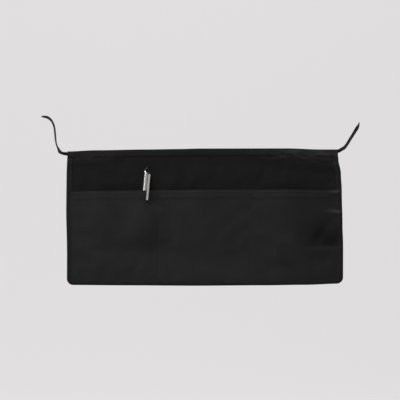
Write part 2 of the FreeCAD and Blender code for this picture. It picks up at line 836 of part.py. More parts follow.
def make_clip():
    """Spring-steel clip hanging from its root, outside the pocket hem."""
    toward_clip = Rotation(Vector(0, 0, 1), dim("clip_azimuth") - 90)
    place = pen_placement().multiply(Placement(Vector(), toward_clip))
    body = new_body("pen_clip", place)
    side = sketch_on(body, "XZ_Plane", "clip_side")
    outer = "dims.clip_inner + dims.clip_sheet"
    arm_low = "dims.clip_pivot_level - 0.7"
    arm_high = "dims.clip_pivot_level + 0.7"
    corners = [
        ("dims.clip_pivot_radius", arm_low),
        ("dims.clip_inner", arm_low),
        ("dims.clip_inner", "dims.clip_end"),
        (outer, "dims.clip_end"),
        (outer, "dims.clip_top"),
        ("dims.clip_inner", "dims.clip_top"),
        ("dims.clip_inner", arm_high),
        ("dims.clip_pivot_radius", arm_high),
    ]
    polygon(side, corners)
    pad(body, side, "clip_strip", "dims.clip_width", both_ways=True)
    root = sketch_on(body, "XZ_Plane", "clip_root")
    centre = Vector(dim("clip_pivot_radius"), dim("clip_pivot_level"), 0)
    root.addGeometry(Part.Circle(centre, Vector(0, 0, 1), 0.85), False)
    pin_point(root, 0, 3, "dims.clip_pivot_radius", "dims.clip_pivot_level")
    root.addConstraint(Sketcher.Constraint("Radius", 0, 0.85))
    pad(body, root, "clip_root_roll", "dims.clip_width", both_ways=True)


# ---------------------------------------------------------------- build and write


make_waistband()
make_panel_top_edge()
make_main_panel()
make_edge_binding()
make_pocket_panel()
make_waistband_stitching()
make_binding_stitching()
make_hem_stitching()
make_divider_stitching()
make_tie("tie_left", -1, TIE_LEFT_PATH)
make_tie("tie_right", 1, TIE_RIGHT_PATH)
make_tie_stitching("tie_left_stitching", -1, TIE_LEFT_PATH)
make_tie_stitching("tie_right_stitching", 1, TIE_RIGHT_PATH)
make_barrels()
make_top_cap()
make_mechanism()
make_spring()
make_clip()
sheet.clear("D1")
doc.recompute()

for item in doc.Objects:
    if any(word in item.State for word in ("Invalid", "Error")):
        raise ValueError(f"{item.Label} did not compute")
for item in parts:
    if item.Shape.isNull() or not item.Shape.isValid():
        raise ValueError(f"{item.Label} has no sound shape")

os.makedirs("parts", exist_ok=True)
for item in parts:
    item.Shape.exportStep(f"parts/{item.Label}.step")
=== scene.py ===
import json
import math

import bmesh
import bpy
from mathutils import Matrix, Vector, noise


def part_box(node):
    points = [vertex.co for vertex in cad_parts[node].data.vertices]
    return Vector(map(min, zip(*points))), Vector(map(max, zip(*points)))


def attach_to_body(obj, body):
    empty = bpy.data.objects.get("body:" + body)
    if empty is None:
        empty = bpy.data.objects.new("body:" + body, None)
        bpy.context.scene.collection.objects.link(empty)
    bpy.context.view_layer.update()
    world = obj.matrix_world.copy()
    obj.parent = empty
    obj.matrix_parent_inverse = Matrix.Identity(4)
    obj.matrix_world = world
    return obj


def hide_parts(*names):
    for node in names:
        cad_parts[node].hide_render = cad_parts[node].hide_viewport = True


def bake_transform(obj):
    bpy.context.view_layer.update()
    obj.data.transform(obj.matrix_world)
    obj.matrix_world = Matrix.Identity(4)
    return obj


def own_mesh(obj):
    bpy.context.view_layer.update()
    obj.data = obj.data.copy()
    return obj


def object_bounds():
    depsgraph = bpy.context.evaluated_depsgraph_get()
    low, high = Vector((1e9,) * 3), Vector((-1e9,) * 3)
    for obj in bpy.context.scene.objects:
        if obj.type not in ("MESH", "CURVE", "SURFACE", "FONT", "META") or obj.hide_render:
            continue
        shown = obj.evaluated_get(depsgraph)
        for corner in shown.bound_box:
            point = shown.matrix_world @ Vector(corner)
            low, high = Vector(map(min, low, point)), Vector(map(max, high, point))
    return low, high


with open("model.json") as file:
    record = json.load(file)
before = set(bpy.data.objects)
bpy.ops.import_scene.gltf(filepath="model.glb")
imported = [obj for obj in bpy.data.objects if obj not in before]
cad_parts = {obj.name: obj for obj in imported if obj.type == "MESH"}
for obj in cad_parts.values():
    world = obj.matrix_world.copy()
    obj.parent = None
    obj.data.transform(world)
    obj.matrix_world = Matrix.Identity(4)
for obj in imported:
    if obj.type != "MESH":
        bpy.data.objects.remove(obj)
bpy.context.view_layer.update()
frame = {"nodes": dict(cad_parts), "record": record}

# A black waist apron hanging straight, pockets towards -Y, with a pen clipped in one pocket.
# Lengths are in millimetres, measured from the CAD boxes, until place() turns them into metres.
# A place on the cloth is given as x across, z up and depth, which grows towards the viewer.
# The stage, the lights and the camera are in metres.

MM = 0.001


def node_box(node):
    """A CAD node's box at rest in millimetres: left, right, front, back, bottom, top."""
    low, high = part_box(node)
    return [value / MM for pair in zip(low, high) for value in pair]


BAND = node_box("waistband")
BINDING = node_box("edge_binding")
PANEL = node_box("main_panel")
POCKET = node_box("pocket_panel")
BUTTON = node_box("pen_button")
BARREL = node_box("pen_barrel_lower")

# The outline: half its width, its lowest edge, and the radius of its lower corners.
HALF = BINDING[1]
FOOT = BINDING[4]
CORNER = 13.0

# The waistband's edges, and how far below its middle it is sewn.
BAND_FOOT, BAND_TOP = BAND[4], BAND[5]
BAND_ROW = 4.6

# The tape folded over the outline: its width, and how far in from the outline it is sewn.
BINDING_WIDTH = 10.0
BINDING_ROW = 8.2

# The pocket: its mouth, where its cloth goes under the side bindings, its two dividers either
# side of the middle, its hem, how far below the mouth the hem's rows are, and its turned top.
MOUTH = POCKET[5]
SIDE = HALF - BINDING_WIDTH
DIVIDER = HALF / 3
HEM = 12.0
HEM_ROWS = (3.2, 10.5)
HEM_TURN = 1.0

# The panel's front face, the cloth's thickness, how far its cut edge lies inside the outline,
# and the gap left between faces that would share a plane.
PANEL_FRONT = -PANEL[2]
CLOTH = 0.6
CUT_EDGE = 0.8
GAP = 0.02

# ---------------------------------------------------------------- curves and folds


def smooth(value):
    """0 up to 0, 1 from 1 on, and a soft step between them."""
    value = min(1.0, max(0.0, value))
    return value * value * (3 - 2 * value)


def spread(start, end, count):
    """Evenly spaced values, with both ends."""
    return [start + (end - start) * step / (count - 1) for step in range(count)]


def through(points, at):
    """Soft curve through (position, value) points, level beyond both ends."""
    if at <= points[0][0]:
        return points[0][1]
    for (start, low), (end, high) in zip(points, points[1:]):
        if at <= end:
            return low + (high - low) * smooth((at - start) / (end - start))
    return points[-1][1]


def catmull(values, share):
    """Value between the middle two of four neighbours."""
    a, b, c, d = values
    cube = (3 * b - a - 3 * c + d) * share**3
    return 0.5 * (2 * b + (c - a) * share + (2 * a - 5 * b + 4 * c - d) * share**2 + cube)


def bell(distance, width):
    """A soft bump of height 1 along a line."""
    return math.exp(-((distance / width) ** 2))


def hill(x, z, centre, size, tilt=0.0):
    """A soft hill of height 1, longer one way and turned by tilt degrees."""
    turn = math.radians(tilt)
    across, up = x - centre[0], z - centre[1]
    along = across * math.cos(turn) + up * math.sin(turn)
    aside = up * math.cos(turn) - across * math.sin(turn)
    return math.exp(-((along / size[0]) ** 2) - (aside / size[1]) ** 2)


def hills(x, z, marks):
    """Several hills together, each given as its height, centre, size and tilt."""
    return sum(height * hill(x, z, centre, size, tilt) for height, centre, size, tilt in marks)


def wander(x, z, scale, seed):
    """Slow, repeatable unevenness between about -1 and 1."""
    return noise.noise(Vector((x / scale, z / scale, seed)))


# How far the right and left edges are moved to the right, at heights up the apron.
RIGHT_PULL = [(FOOT, 0.8), (-190, 1.0), (-150, -0.4), (-77, -1.8), (-44, -3.6)]
RIGHT_PULL += [(-13, -9.0), (0, -9.6)]
LEFT_PULL = [(FOOT, 0.2), (-205, 0.4), (-115, -1.2), (-45, -0.5), (0, 1.0)]

# How far the waistband and the foot are raised, at places across the apron.
BAND_LIFT = [(-280, -6.6), (-220, -4.2), (-120, -2.6), (-50, -1.7), (-10, -0.7)]
BAND_LIFT += [(170, -0.4), (245, -2.6)]
FOOT_LIFT = [(-280, 0.0), (-150, -0.8), (-20, -1.5), (120, -0.7), (200, 0.3), (280, 2.9)]

# Folds that stand forward, as marks for hills(), and the deep one that falls back.
FOLDS = [
    (2.8, (-238, -17), (46, 9), 4),  # the fullness under the band's left end
    (2.2, (268, -83), (15, 4), 6),  # the upper pucker at the right edge
    (2.8, (264, -124), (20, 4.5), -6),  # the lower pucker at the right edge
    (3.0, (230, -154), (40, 12), -36),  # the long fold above the deep one
    (2.2, (249, -166), (27, 6.0), 61),  # the steep crease across it
]
DEEP_FOLD = (5.0, (252, -188), (38, 26), -30)

# Painted highlights on folds, puckers and low on the pocket, and painted shade in the deep fold
# and on the band, as marks whose height is the change of tone.
PAINTED_HIGHLIGHTS = [
    (0.30, (-235, -7), (46, 9), 0),
    (1.6, (268, -80.5), (11, 3.2), 6),
    (1.7, (267, -122), (13, 3.2), -6),
    (0.25, (262, -150), (16, 4.5), 61),
    (0.12, (10, -238), (170, 36), 0),
]
SHADE_IN_FOLD = [
    (0.30, (243, -170), (48, 29), -36),
    (0.42, (227, -171), (32, 9), 54),
    (0.32, (267, -174), (26, 7), 64),
]
SHADE_UNDER_BAND = (0.12, (-10, 0), (110, 14), 0)


def warp(x, z):
    """Where a point of the flat pattern hangs: the sides drawn in, the top and foot bowed."""
    high = smooth((z - FOOT) / (BAND_TOP - FOOT))
    pull = through(RIGHT_PULL, z) * smooth((x - 120) / 160)
    pull += through(LEFT_PULL, z) * smooth((-x - 180) / 100)
    lift = through(BAND_LIFT, x) * high + through(FOOT_LIFT, x) * (1 - high)
    return x + pull, z + lift


# How far the slack corner leans out.
SLACK = 4.4


def crease_at(x):
    """Height of the slanting crease under the slack top right corner."""
    return -9 - max(0.0, x - 92) * 0.1


def slack_corner(x, z):
    """The slack top right: cloth leans out below the band as far as the slanting crease."""
    crease = crease_at(x)
    reach = SLACK * smooth((x - 70) / 130)
    if z > crease:
        return reach * smooth((BAND_TOP - z) / (BAND_TOP - crease))
    return reach * (1 - smooth((crease - z) / 22))


def corner_puckers(x, z):
    """Short slanting puckers, about 1 either way, on the slack corner and the upper left."""
    right = smooth((x - 80) / 110) * smooth((z - crease_at(x) + 5) / 9)
    left = hill(x, z, (-238, -8), (52, 11))
    return 1.6 * wander(0.8 * x + z, 1.7 * z - 0.3 * x, 15, 9.0) * (right + 0.6 * left)


def sunk_fold(x, z):
    """The deep fold low on the right: the cloth falls back, then returns at a sharp crease."""
    return hills(x, z, [DEEP_FOLD]) * smooth((z + 198) / 5)


def relief(x, z):
    """How far the skirt stands forward of flat, in folds and ripples, calm behind the pen."""
    calm = 1 - 0.9 * hill(x, z, (-122, -110), (46, 90))
    from_top = smooth((BAND_TOP - z) / 16)
    fold = slack_corner(x, z) + 1.8 * corner_puckers(x, z) - sunk_fold(x, z)
    fold += hills(x, z, FOLDS)
    slow = 1.7 * wander(x, z, 95, 3.0) + 0.9 * wander(x, z, 38, 7.0)
    fine = 0.18 * wander(x, z, 13, 1.0)
    near_foot = 0.35 + 0.65 * smooth((z - FOOT) / 30)
    return calm * from_top * (fold + (slow + fine) * near_foot)


def painted_light_and_shade(x, z):
    """Painted light and shade on the cloth's colour: highlights on creases, shade in the deep fold.
    """
    slack = smooth((x - 80) / 170) * smooth((z - crease_at(x) + 5) / 10) * smooth((290 - x) / 10)
    light = slack * (0.14 + 0.62 * smooth((z + 14) / 9)) + 0.8 * max(-0.2, corner_puckers(x, z))
    light += hills(x, z, PAINTED_HIGHLIGHTS)
    dark = hills(x, z, [SHADE_UNDER_BAND]) + 0.14 * smooth((5 - z) / 9) * smooth((z + 40) / 25)
    dark += hills(x, z, SHADE_IN_FOLD) * smooth((z + 195.5) / 3.5)
    return 1 + light - dark


def place(x, depth, z):
    """A point of the hanging cloth in metres."""
    at_x, at_z = warp(x, z)
    return Vector((at_x, -depth - relief(x, z), at_z)) * MM


# ---------------------------------------------------------------- cloth simulation

# The size of a sheet's faces, how long it settles, and how far a point may move.
SIM_STEP = 5.0
SIM_FRAMES = 25
SIM_CAP = 5.0


def add_object(name, data):
    """A new object with this data, placed in the scene."""
    thing = bpy.data.objects.new(name, data)
    bpy.context.scene.collection.objects.link(thing)
    return thing


def sheet_to_settle(points, rows, start, sewn):
    """A sheet of square faces in its starting shape, with its seams marked."""
    columns = len(points) // rows
    corners = [(x * MM, -start(x, z) * MM, z * MM) for x, z in points]
    faces = []
    for column in range(columns - 1):
        for row in range(rows - 1):
            low = column * rows + row
            faces.append((low, low + rows, low + rows + 1, low + 1))
    mesh = bpy.data.meshes.new("settling_sheet")
    mesh.from_pydata(corners, [], faces)
    sheet = add_object("settling_sheet", mesh)
    seams = sheet.vertex_groups.new(name="seams")
    seams.add([index for index, spot in enumerate(points) if sewn(*spot)], 1.0, "REPLACE")
    return sheet


def make_it_cloth(sheet, slack, push):
    """Limp cloth with some slack in it, held at its seams and pushed forward a little."""
    cloth = sheet.modifiers.new("settle", "CLOTH")
    cloth.point_cache.frame_start = 1
    cloth.point_cache.frame_end = SIM_FRAMES
    cloth.collision_settings.use_collision = False
    cloth.collision_settings.use_self_collision = False
    settings = cloth.settings
    settings.quality = 5
    settings.mass = 0.1
    settings.tension_stiffness = 40
    settings.compression_stiffness = 40
    settings.shear_stiffness = 13
    settings.bending_stiffness = 2
    settings.vertex_group_mass = "seams"
    settings.shrink_min = settings.shrink_max = -slack
    settings.use_pressure = True
    settings.uniform_pressure_force = push
    settings.effector_weights.gravity = 0.05


def simulate(points, rows, start, sewn, slack, push):
    """Let a sheet settle as cloth, and return each point's depth, kept near where it began."""
    sheet = sheet_to_settle(points, rows, start, sewn)
    make_it_cloth(sheet, slack, push)
    for number in range(1, SIM_FRAMES + 1):
        bpy.context.scene.frame_set(number)

    settled = sheet.evaluated_get(bpy.context.evaluated_depsgraph_get())
    depths = []
    for vertex, (x, z) in zip(settled.to_mesh().vertices, points):
        moved = -vertex.co.y / MM - start(x, z)
        depths.append(start(x, z) + min(SIM_CAP, max(-SIM_CAP, moved)))
    settled.to_mesh_clear()
    bpy.data.objects.remove(sheet)
    bpy.context.scene.frame_set(1)
    return depths


def settle(left, right, foot, top, start, sewn, slack, push):
    columns = round((right - left) / SIM_STEP) + 1
    rows = round((top - foot) / SIM_STEP) + 1
    points = [(x, z) for x in spread(left, right, columns) for z in spread(foot, top, rows)]
    depths = simulate(points, rows, start, sewn, slack, push)

    def depth_at(column, row):
        column = min(columns - 1, max(0, column))
        row = min(rows - 1, max(0, row))
        return depths[column * rows + row]

    def depth(x, z):
        across = min(columns - 1.0, max(0.0, (x - left) / (right - left) * (columns - 1)))
        up = min(rows - 1.0, max(0.0, (z - foot) / (top - foot) * (rows - 1)))
        column, row = int(across), int(up)
        nearby = []
        for beside in range(column - 1, column + 3):
            heights = [depth_at(beside, row + offset) for offset in (-1, 0, 1, 2)]
            nearby.append(catmull(heights, up - row))
        return catmull(nearby, across - column)

    return depth


# ---------------------------------------------------------------- pocket shape

# How far the pen lifts the pocket, how far below the barrel that dies out, and how far an
# empty compartment stands open.
PEN_COVER = 13.2
COVER_FADE = 60
GAPE = 4.2


def pen_across(z):
    """Where the leaning pen's axis is at a height."""
    high_x, high_z = (BUTTON[0] + BUTTON[1]) / 2, (BUTTON[4] + BUTTON[5]) / 2
    low_x, low_z = (BARREL[0] + BARREL[1]) / 2, (BARREL[4] + BARREL[5]) / 2
    return low_x + (z - low_z) * (high_x - low_x) / (high_z - low_z)


def over_pen(x, z, left, right):
    """A ridge over the pen's hidden barrel, with its own spread to each side."""
    fade = 1 - smooth((BARREL[4] - z) / COVER_FADE)
    aside = x - pen_across(z)
    width = left if aside < 0 else right
    return PEN_COVER * fade * math.exp(-((abs(aside) / width) ** 2.1))


def arch(x, z):
    """How far an empty compartment stands open, most at its mouth."""
    fall = min(1.0, max(0.0, (MOUTH - z) / (MOUTH - FOOT - BINDING_WIDTH)))
    outer = (SIDE - DIVIDER) / 2
    for centre, half in ((-DIVIDER - outer, outer), (0.0, DIVIDER), (DIVIDER + outer, outer)):
        share = abs(x - centre) / half
        if share < 1:
            return GAPE * (1 - share**4) ** 2 * (1 - fall**2) ** 2
    return 0.0


def pocket_start(x, z):
    """Shape that the pocket is sewn in: arched mouths, and a ridge that the clip keeps narrow."""
    below_clip = smooth((MOUTH - 22 - z) / 30)
    ridge = (arch(x, z) ** 3 + over_pen(x, z, 32.0, 11.0 + 27.0 * below_clip) ** 3) ** (1 / 3)
    return ridge + 0.3 * wander(x, z, 30, 4.0) * (1 if ridge > 0.4 else 0)


def pocket_sewn(x, z):
    """Whether the pocket is held here: at its foot, its sides and its dividers."""
    at_divider = abs(abs(x) - DIVIDER) < SIM_STEP * 0.51
    return z < FOOT + BINDING_WIDTH + 1 or abs(x) > SIDE - 1 or at_divider


def panel_start(x, z):
    """Shape that the upper panel settles from: flat, and slightly uneven."""
    return 0.3 * wander(x, z, 26, 12.0)


def panel_sewn(x, z):
    """Whether the upper panel is held here: under the band, at the sides and in the pocket."""
    return z > BAND_FOOT - 1 or z < MOUTH + 4 or abs(x) > SIDE - 1


pocket_settled = settle(
    -SIDE, SIDE, FOOT + BINDING_WIDTH, MOUTH, pocket_start, pocket_sewn, slack=0.003, push=0.35
)
panel_settled = settle(
    -SIDE, SIDE, MOUTH - 4, BAND_FOOT, panel_start, panel_sewn, slack=0.004, push=0.1
)


def panel_depth(x, z):
    """Front of the panel's cloth: settled where it shows, flat behind the pen and the pocket."""
    free = smooth((z - MOUTH) / 14) * smooth((SIDE - abs(x)) / 12) * smooth((BAND_FOOT - z) / 8)
    free *= 1 - 0.95 * hill(x, z, (-116, -55), (32, 60))
    return PANEL_FRONT + 0.8 * free * panel_settled(x, z)


def hem_share(x):
    """How full the hem is, from 0 where the side bindings press it flat to 1."""
    return smooth((SIDE - 1 - abs(x)) / 14)


def pocket_depth(x, z):
    """Front of the pocket's cloth and its hem, which the pen's clip holds close to the barrel."""
    held = min(1.0, 1.6 * hill(x - pen_across(z), z, (0, MOUTH - 12), (26, 34)))
    settled = pocket_settled(x, z) * (1 - held) + pocket_start(x, z) * held
    under = max(0.0, settled, over_pen(x, z, 11.0, 11.0))
    hem = 1.25 * hem_share(x) * (1 - smooth((MOUTH - HEM - z) / 9))
    sewn_row = 0.3 * bell(MOUTH - HEM_ROWS[1] - z, 1.2)
    divider = 0.6 * bell(abs(x) - DIVIDER, 1.7)
    gathers = math.sin(x * 0.9 + 2 * wander(x, 0, 30, 5.0))
    pucker = 0.14 * gathers * bell(MOUTH - 10 - z, 7)
    dent = 0.7 * hill(x - pen_across(z), z, (8.5, MOUTH - 11), (3.6, 17))
    return PANEL_FRONT + 0.15 + under + CLOTH + hem - sewn_row - divider + pucker - dent


# ---------------------------------------------------------------- mesh helpers


def mesh_object(name, vertices, faces, sharp):
    """A smooth-shaded object with creases kept where faces turn by more than sharp degrees."""
    mesh = bpy.data.meshes.new(name)
    mesh.from_pydata([tuple(vertex) for vertex in vertices], [], faces)
    work = bmesh.new()
    work.from_mesh(mesh)
    bmesh.ops.recalc_face_normals(work, faces=work.faces)
    work.to_mesh(mesh)
    work.free()
    mesh.polygons.foreach_set("use_smooth", [True] * len(mesh.polygons))
    mesh.set_sharp_from_angle(angle=math.radians(sharp))
    return add_object(name, mesh)


def skin(rings, first, looped=False):
    """Faces over successive rings numbered from first, joined in a loop or closed at both ends."""
    size = len(rings[0])
    faces = []
    for index in range(len(rings) if looped else len(rings) - 1):
        low = first + index * size
        high = first + (index + 1) % len(rings) * size
        for step in range(size):
            after = (step + 1) % size
            faces.append((low + step, low + after, high + after, high + step))
    if not looped:
        last = first + (len(rings) - 1) * size
        faces.append(tuple(reversed(range(first, first + size))))
        faces.append(tuple(range(last, last + size)))
    return faces


def ring_object(name, rings, sharp=50, looped=False):
    """An object with one skin over successive rings."""
    vertices = [vertex for ring in rings for vertex in ring]
    return mesh_object(name, vertices, skin(rings, 0, looped), sharp)


def finish_piece(thing, material, slot, *nodes):
    """Give a piece its material, its painted light and shade and the CAD nodes that it stands for;
    slot is not used.
    """
    # The tone is painted light and shade: highlights on creases, shade in the deep fold.
    tone = thing.data.attributes.new("tone", "FLOAT", "POINT")
    places = [vertex.co / MM for vertex in thing.data.vertices]
    tone.data.foreach_set("value", [painted_light_and_shade(at.x, at.z) for at in places])
    thing.data.materials.append(material)
    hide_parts(*nodes)


def ride_band(thing):
    """Let a piece move with the waistband."""
    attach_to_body(thing, "waistband")


def ride_skirt(thing):
    """Let a piece move with the skirt."""
    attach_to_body(thing, "skirt")


def bend_at_waist(thing):
    """Bake the piece's placement into its mesh."""
    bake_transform(thing)


# ---------------------------------------------------------------- materials


class Finish:
    """A node material under construction: short names for the nodes that the finishes share."""

    def __init__(self, name):
        self.material = bpy.data.materials.new(name)
        self.material.use_nodes = True
        self.tree = self.material.node_tree
        self.shader = self.tree.nodes["Principled BSDF"]
        self.coordinates = self.tree.nodes.new("ShaderNodeTexCoord").outputs["Object"]

    def feed(self, socket, value):
        """Link a node's output to a socket, or set the socket to a plain value."""
        if isinstance(value, bpy.types.NodeSocket):
            self.tree.links.new(value, socket)
        else:
            socket.default_value = value

    def node(self, kind, inputs, **settings):
        """A new node with its inputs fed and its settings made."""
        made = self.tree.nodes.new(kind)
        for key, value in settings.items():
            setattr(made, key, value)
        for key, value in inputs.items():
            self.feed(made.inputs[key], value)
        return made

    def math(self, operation, first, second=0.0):
        return self.node("ShaderNodeMath", {0: first, 1: second}, operation=operation).outputs[0]

    def add(self, first, second):
        return self.math("ADD", first, second)

    def times(self, first, second):
        return self.math("MULTIPLY", first, second)

    def wave(self, direction, period):
        """A sine along a direction, with its period in millimetres."""
        line = Vector(direction).normalized() * (2 * math.pi / (period * MM))
        inputs = {0: self.coordinates, 1: line}
        dot = self.node("ShaderNodeVectorMath", inputs, operation="DOT_PRODUCT")
        return self.math("SINE", dot.outputs["Value"])

    def noise(self, scale, detail=3.0, stretch=(1, 1, 1)):
        """Cloudy noise, which a stretch below 1 draws out along that axis."""
        mapping = self.node("ShaderNodeMapping", {"Vector": self.coordinates, "Scale": stretch})
        inputs = {"Vector": mapping.outputs[0], "Scale": scale, "Detail": detail}
        return self.node("ShaderNodeTexNoise", inputs).outputs["Fac"]

    def span(self, value, low, high, start=0.25, end=0.75):
        """Map start to end onto low to high, and hold beyond them."""
        inputs = {"Value": value, "From Min": start, "From Max": end, "To Min": low, "To Max": high}
        return self.node("ShaderNodeMapRange", inputs, interpolation_type="SMOOTHSTEP").outputs[0]

    def tone(self):
        """The painted light and shade that each cloth piece carries at its points."""
        return self.node("ShaderNodeAttribute", {}, attribute_name="tone").outputs["Fac"]

    def across(self):
        """The place across the apron, in metres."""
        return self.node("ShaderNodeSeparateXYZ", {0: self.coordinates}).outputs["X"]

    def worn_and_lit_edges(self, gain):
        """Rises above 1 on folds and rims, unevenly: wear, and a painted highlight where rims catch
        light.
        """
        geometry = self.node("ShaderNodeNewGeometry", {})
        ridge = self.span(geometry.outputs["Pointiness"], 0.0, gain, 0.52, 0.62)
        return self.add(self.times(ridge, self.span(self.noise(160), 0.3, 1.0)), 1.0)

    def tinted(self, colour, factor):
        """A colour made lighter or darker by a factor."""
        made = self.node("ShaderNodeVectorMath", {0: colour, "Scale": factor}, operation="SCALE")
        return made.outputs[0]

    def bump(self, height, strength, distance):
        """Surface relief from a height, with its distance in millimetres."""
        inputs = {"Height": height, "Strength": strength, "Distance": distance * MM}
        return self.node("ShaderNodeBump", inputs).outputs["Normal"]

    def set(self, **values):
        """Feed the surface's inputs, named with underscores for spaces."""
        for key, value in values.items():
            self.feed(self.shader.inputs[key.replace("_", " ")], value)


def twill(name, colour, shaded_right=1.0):
    """Cotton-blend twill: slanted ribs crossed by yarns, lint, and painted light and shade."""
    finish = Finish(name)
    ribs = finish.wave((1, 0, 1.9), 0.9)
    yarns = finish.wave((1.9, 0, -1), 0.56)
    weave = finish.add(ribs, finish.times(yarns, 0.45))
    height = finish.add(weave, finish.times(finish.noise(2600, 2.0), 1.4))
    # Mottle, with folds and rims lightened by wear and a painted highlight.
    shade = finish.times(finish.span(finish.noise(24, 5.0), 0.90, 1.10), finish.worn_and_lit_edges(0.35))
    shade = finish.times(shade, finish.span(finish.noise(900, 2.0), 0.9, 1.12))
    shade = finish.times(shade, finish.add(finish.times(ribs, 0.10), 1.0))
    # Painted shade that darkens the right part, times the painted light and shade of each piece.
    painted_shading = finish.times(finish.span(finish.across(), 1.0, shaded_right, 0.09, 0.23), finish.tone())
    finish.set(Base_Color=finish.tinted(colour, finish.times(shade, painted_shading)))
    finish.set(Roughness=0.85, Specular_IOR_Level=0.10)
    finish.set(Sheen_Weight=0.16, Sheen_Roughness=0.4)
    finish.set(Normal=finish.bump(height, 0.45, 0.10))
    return finish.material


def tape_weave(name, colour):
    """Plain-woven cotton tape with a fine cross rib."""
    finish = Finish(name)
    weave = finish.times(finish.wave((1, 0, 0.04), 0.55), finish.wave((0.03, 0, 1), 0.5))
    height = finish.add(weave, finish.times(finish.noise(2400, 2.0), 1.2))
    # Mottle, with rims lightened by wear and a painted highlight, such as the band's rolled top.
    shade = finish.times(finish.span(finish.noise(60, 4.0), 0.88, 1.12), finish.worn_and_lit_edges(0.5))
    shade = finish.times(shade, finish.add(finish.times(weave, 0.12), 1.0))
    # The colour carries each piece's painted light and shade.
    finish.set(Base_Color=finish.tinted(colour, finish.times(shade, finish.tone())))
    finish.set(Roughness=0.8, Specular_IOR_Level=0.12)
    finish.set(Sheen_Weight=0.16, Sheen_Roughness=0.35)
    finish.set(Normal=finish.bump(height, 0.5, 0.09))
    return finish.material


def sewing_thread(name, colour):
    """Twisted polyester thread with a slight shine."""
    finish = Finish(name)
    finish.set(Base_Color=finish.tinted(colour, finish.span(finish.noise(700, 2.0), 0.8, 1.2)))
    finish.set(Roughness=0.5, Specular_IOR_Level=0.3)
    finish.set(Normal=finish.bump(finish.wave((1, 0.3, 1), 0.42), 0.5, 0.05))
    return finish.material


def brushed_metal(name, colour, rough, stretch=(1.0, 1.0, 0.03)):
    """Satin-plated metal: fine lengthwise brushing, smudges and rubbed edges."""
    finish = Finish(name)
    brushing = finish.noise(5200, 2.0, stretch)
    smudge = finish.noise(210, 4.0)
    lengthwise = finish.span(brushing, rough - 0.04, rough + 0.05)
    roughness = finish.add(lengthwise, finish.span(smudge, -0.03, 0.05))
    shade = finish.times(finish.span(brushing, 0.94, 1.05), finish.span(smudge, 0.96, 1.03))
    finish.set(Base_Color=finish.tinted(colour, finish.times(shade, finish.worn_and_lit_edges(0.12))))
    finish.set(Metallic=1.0, Roughness=roughness)
    finish.set(Normal=finish.bump(brushing, 0.1, 0.02))
    return finish.material


def moulded_plastic(name, colour, rough):
    """Moulded plastic with slight flow unevenness and handling scuffs."""
    finish = Finish(name)
    flow = finish.noise(140, 3.0)
    scuffs = finish.noise(1900, 4.0, (1.0, 1.0, 0.2))
    shade = finish.times(finish.span(flow, 0.92, 1.08), finish.worn_and_lit_edges(0.6))
    finish.set(Base_Color=finish.tinted(colour, shade))
    finish.set(Roughness=finish.span(scuffs, rough, rough + 0.1))
    finish.set(Specular_IOR_Level=0.28, Coat_Weight=0.08, Coat_Roughness=0.08)
    finish.set(Normal=finish.bump(flow, 0.05, 0.2))
    return finish.material


PANEL_CLOTH = twill("panel_twill", (0.0066, 0.0066, 0.0067))
# The pocket's right part is darkened by painted shade.
POCKET_CLOTH = twill("pocket_twill", (0.0138, 0.0138, 0.0139), shaded_right=0.80)
TAPE = tape_weave("black_tape", (0.0088, 0.0088, 0.0089))
THREAD = sewing_thread("black_thread", (0.019, 0.019, 0.0192))
TIE_TAPE = tape_weave("dark_tape", (0.0028, 0.0028, 0.0029))
MATT_THREAD = sewing_thread("matt_thread", (0.007, 0.007, 0.0071))
STEEL = brushed_metal("satin_barrel", (0.62, 0.592, 0.588), 0.33)
CLIP_STEEL = brushed_metal("clip_steel", (0.52, 0.495, 0.49), 0.34)
RING_STEEL = brushed_metal("polished_ring", (0.92, 0.90, 0.89), 0.30)
SPRING_STEEL = brushed_metal("spring_steel", (0.6, 0.6, 0.6), 0.25)
BRASS = brushed_metal("turned_brass", (0.80, 0.60, 0.28), 0.28, (0.05, 0.05, 1.0))
BALL_STEEL = brushed_metal("ball_steel", (0.8, 0.8, 0.8), 0.12)
BLACK_GLOSS = moulded_plastic("black_gloss", (0.002, 0.002, 0.002), 0.10)
INNER_PLASTIC = moulded_plastic("inner_plastic", (0.62, 0.62, 0.60), 0.35)
REFILL_PLASTIC = moulded_plastic("refill_plastic", (0.09, 0.11, 0.16), 0.2)

# ---------------------------------------------------------------- sewn pieces


def foot_at(x):
    """Height of the cloth's cut edge at x, which rises round the lower corners."""
    radius = CORNER - CUT_EDGE
    past = max(0.0, abs(x) - (HALF - CORNER))
    return FOOT + CORNER - math.sqrt(max(0.0, radius * radius - past * past))


def columns_across(fine):
    """Columns across the skirt: closer over the pen and round the two lower corners."""
    half = HALF - CUT_EDGE
    marks = spread(-half, -half + 14, 9) + spread(-half + 18, -156, 28)
    marks += spread(-156 + fine, -86, round(70 / fine)) + spread(-83, half - 18, 96)
    return marks + spread(half - 14, half, 9)


def make_main_panel():
    """The cloth behind everything."""
    rings = []
    for x in columns_across(2.5):
        heights = spread(BAND_FOOT + 3.0, MOUTH - 6, 34)
        heights += spread(MOUTH - 12, foot_at(x), 40)
        front = [place(x, panel_depth(x, z) - GAP, z) for z in heights]
        back = [place(x, panel_depth(x, z) - CLOTH + GAP, z) for z in reversed(heights)]
        rings.append(front + back)
    panel = ring_object("main_panel_cloth", rings)
    finish_piece(panel, PANEL_CLOTH, "panel_cloth", "main_panel", "panel_top_edge")
    bend_at_waist(panel)


def hem_fold(x, thick):
    """The rounded top of the turned hem, from its back over to its front."""
    foot = MOUTH - HEM_TURN
    middle = pocket_depth(x, foot) - thick / 2
    fold = []
    for turn in spread(0, math.pi, 9)[1:-1]:
        depth = middle - math.cos(turn) * thick / 2
        fold.append(place(x, depth, foot + HEM_TURN * math.sin(turn)))
    return fold


